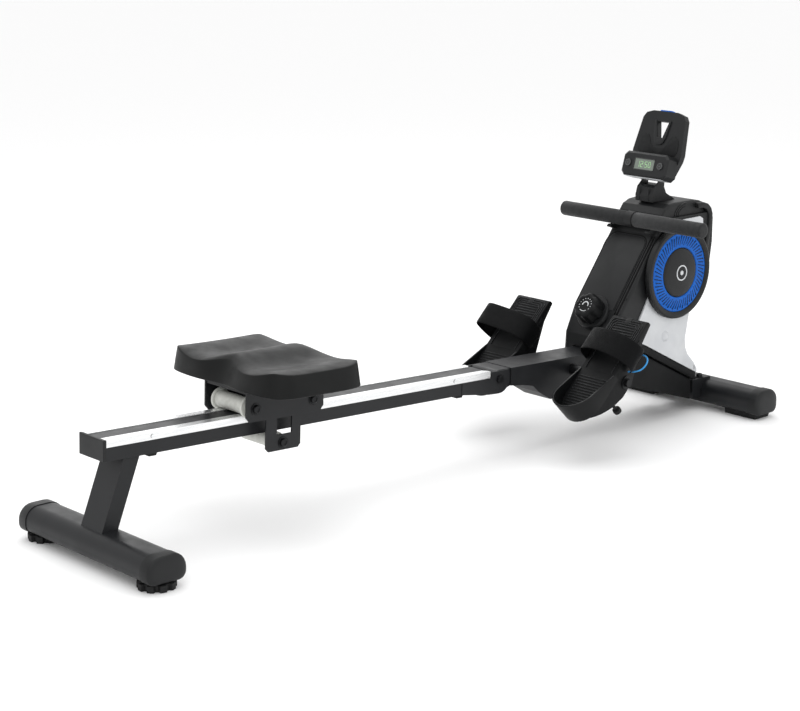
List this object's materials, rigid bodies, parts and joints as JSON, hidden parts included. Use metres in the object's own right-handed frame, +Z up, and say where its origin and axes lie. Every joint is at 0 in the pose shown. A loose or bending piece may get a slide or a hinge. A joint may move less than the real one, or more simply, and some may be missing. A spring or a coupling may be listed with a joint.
{
  "type": "folding rowing machine",
  "caption": "Folding magnetic rowing machine with a sliding seat on a rail, footrests, a flywheel housing and a console.",
  "frame": {"origin": "middle of the machine's bounding box, on the floor", "axes": "+X along the rail towards the console, +Y to the rower's left, +Z up"},
  "size_m": [1.898, 0.4892, 0.7502],
  "materials": {
    "powder_coat": "satin",
    "bright_strip": "brushed",
    "black_plastic": "fine texture",
    "gloss_black": "gloss",
    "silver_panel": "satin",
    "blue_plastic": "gloss",
    "white_nylon": "matte",
    "black_rubber": "matte",
    "seat_foam": "matte",
    "foam_grip": "matte",
    "webbing": "woven",
    "blue_cord": "braided",
    "zinc": "satin",
    "iron": "machined",
    "screen": "gloss",
    "lead_black": "matte"
  },
  "bodies": {
    "base": {"main_frame": "powder_coat", "front_stabilizer": "powder_coat", "front_cap_right": "black_plastic", "front_cap_left": "black_plastic", "front_pad_right": "black_rubber", "front_pad_left": "black_rubber", "lower_cover": "black_plastic", "shroud_shell": "black_plastic", "top_cover": "black_plastic", "side_panel_right": "silver_panel", "side_panel_left": "silver_panel", "disc_trim_right": "gloss_black", "disc_trim_left": "gloss_black", "disc_ring_right": "blue_plastic", "disc_ring_left": "blue_plastic", "console_post": "black_plastic", "pedal_axle": "zinc", "drive_belt": "black_rubber", "fold_bolt": "zinc", "console_cable": "lead_black"},
    "rail": {"rail_tube": "powder_coat", "rail_strip_right": "bright_strip", "rail_strip_left": "bright_strip", "rail_end_cap": "black_plastic", "rail_stop_rear": "black_rubber", "rail_stop_front": "black_rubber", "rear_post": "powder_coat", "rear_stabilizer": "powder_coat", "rear_cap_right": "black_plastic", "rear_cap_left": "black_plastic"},
    "level_foot_right_body": {"level_foot_right": "black_rubber"},
    "level_foot_left_body": {"level_foot_left": "black_rubber"},
    "carriage": {"carriage_plate_right": "powder_coat", "carriage_plate_left": "powder_coat", "seat_base": "powder_coat", "carriage_axles": "zinc", "seat_pad": "seat_foam"},
    "roller_rear_body": {"roller_rear": "white_nylon"},
    "roller_front_body": {"roller_front": "white_nylon"},
    "roller_lower_body": {"roller_lower": "white_nylon"},
    "pedal_right_body": {"pedal_right": "black_plastic", "pedal_strap_right": "webbing", "strap_loop_right": "blue_cord"},
    "pedal_left_body": {"pedal_left": "black_plastic", "pedal_strap_left": "webbing", "strap_loop_left": "blue_cord"},
    "handle": {"handle_grip": "foam_grip", "handle_clip": "webbing", "pull_strap": "webbing"},
    "spool_body": {"strap_spool": "white_nylon"},
    "wheel_body": {"flywheel": "iron"},
    "magnet_body": {"magnet_bracket": "iron"},
    "knob_body": {"tension_knob": "black_plastic"},
    "console_body": {"console_housing": "black_plastic", "console_screen": "screen", "console_insert": "blue_plastic"},
    "button_right_body": {"button_right": "gloss_black"},
    "button_left_body": {"button_left": "gloss_black"},
    "transport_wheel_right_body": {"transport_wheel_right": "black_rubber"},
    "transport_wheel_left_body": {"transport_wheel_left": "black_rubber"}
  },
  "joints": [
    {"name": "rail_fold", "type": "hinge", "parent": "base", "child": "rail", "pos_m": [0.15046, 0, 0.19445], "axis": [0, 1, 0], "range_deg": [0, 95]},
    {"name": "seat_slide", "type": "slide", "parent": "rail", "child": "carriage", "axis": [-0.9993, 0, 0.0373], "range_m": [-0.45, 0.235]},
    {"name": "roller_rear_turn", "type": "hinge", "parent": "carriage", "child": "roller_rear_body", "pos_m": [-0.56856, 0, 0.26109], "axis": [0, 1, 0], "range_deg": [-900, 1700]},
    {"name": "roller_front_turn", "type": "hinge", "parent": "carriage", "child": "roller_front_body", "pos_m": [-0.41866, 0, 0.2555], "axis": [0, 1, 0], "range_deg": [-900, 1700]},
    {"name": "roller_lower_turn", "type": "hinge", "parent": "carriage", "child": "roller_lower_body", "pos_m": [-0.50057, 0, 0.1789], "axis": [0, 1, 0], "range_deg": [-1700, 900]},
    {"name": "level_right", "type": "hinge", "parent": "rail", "child": "level_foot_right_body", "pos_m": [-0.905, -0.19, 0], "axis": [0, 0, 1], "range_deg": [-30, 30]},
    {"name": "level_left", "type": "hinge", "parent": "rail", "child": "level_foot_left_body", "pos_m": [-0.905, 0.19, 0], "axis": [0, 0, 1], "range_deg": [-30, 30]},
    {"name": "pedal_right_pivot", "type": "hinge", "parent": "base", "child": "pedal_right_body", "pos_m": [0.392, -0.1545, 0.177], "axis": [0, 1, 0], "range_deg": [-12, 12]},
    {"name": "pedal_left_pivot", "type": "hinge", "parent": "base", "child": "pedal_left_body", "pos_m": [0.392, 0.1545, 0.177], "axis": [0, 1, 0], "range_deg": [-12, 12]},
    {"name": "handle_pull", "type": "slide", "parent": "base", "child": "handle", "axis": [1, 0, 0], "range_m": [-1.1, 0]},
    {"name": "spool_turn", "type": "hinge", "parent": "base", "child": "spool_body", "pos_m": [0.563, 0, 0.282], "axis": [0, 1, 0], "range_deg": [-2200, 2200]},
    {"name": "wheel_turn", "type": "hinge", "parent": "base", "child": "wheel_body", "pos_m": [0.707, 0, 0.373], "axis": [0, 1, 0], "range_deg": [-3800, 3800]},
    {"name": "tension_turn", "type": "hinge", "parent": "base", "child": "knob_body", "pos_m": [0.506, 0, 0.29], "axis": [-0.8, 0, 0.6], "range_deg": [0, 270]},
    {"name": "magnet_swing", "type": "hinge", "parent": "base", "child": "magnet_body", "pos_m": [0.696, 0, 0.473], "axis": [0, 1, 0], "range_deg": [0, 4]},
    {"name": "console_tilt", "type": "hinge", "parent": "base", "child": "console_body", "pos_m": [0.707, 0, 0.597], "axis": [0, 1, 0], "range_deg": [-10, 7.5], "deforming": ["console_cable"]},
    {"name": "button_right_press", "type": "slide", "parent": "console_body", "child": "button_right_body", "axis": [0.9563, 0, -0.2924], "range_m": [0, 0.0015], "stiffness_N_per_m": 800},
    {"name": "button_left_press", "type": "slide", "parent": "console_body", "child": "button_left_body", "axis": [0.9563, 0, -0.2924], "range_m": [0, 0.0015], "stiffness_N_per_m": 800},
    {"name": "transport_right_turn", "type": "hinge", "parent": "base", "child": "transport_wheel_right_body", "pos_m": [0.931, -0.096, 0.026], "axis": [0, 1, 0], "continuous": true},
    {"name": "transport_left_turn", "type": "hinge", "parent": "base", "child": "transport_wheel_left_body", "pos_m": [0.931, 0.096, 0.026], "axis": [0, 1, 0], "continuous": true}
  ],
  "couplings": [
    {"joint": "roller_rear_turn", "follows": "seat_slide", "rad_per_m": -55.556},
    {"joint": "roller_front_turn", "follows": "seat_slide", "rad_per_m": -55.556},
    {"joint": "roller_lower_turn", "follows": "seat_slide", "rad_per_m": 55.556},
    {"joint": "spool_turn", "follows": "handle_pull", "rad_per_m": 32.258},
    {"joint": "wheel_turn", "follows": "handle_pull", "rad_per_m": 55.555},
    {"joint": "magnet_swing", "follows": "tension_turn", "ratio": 0.011111}
  ]
}
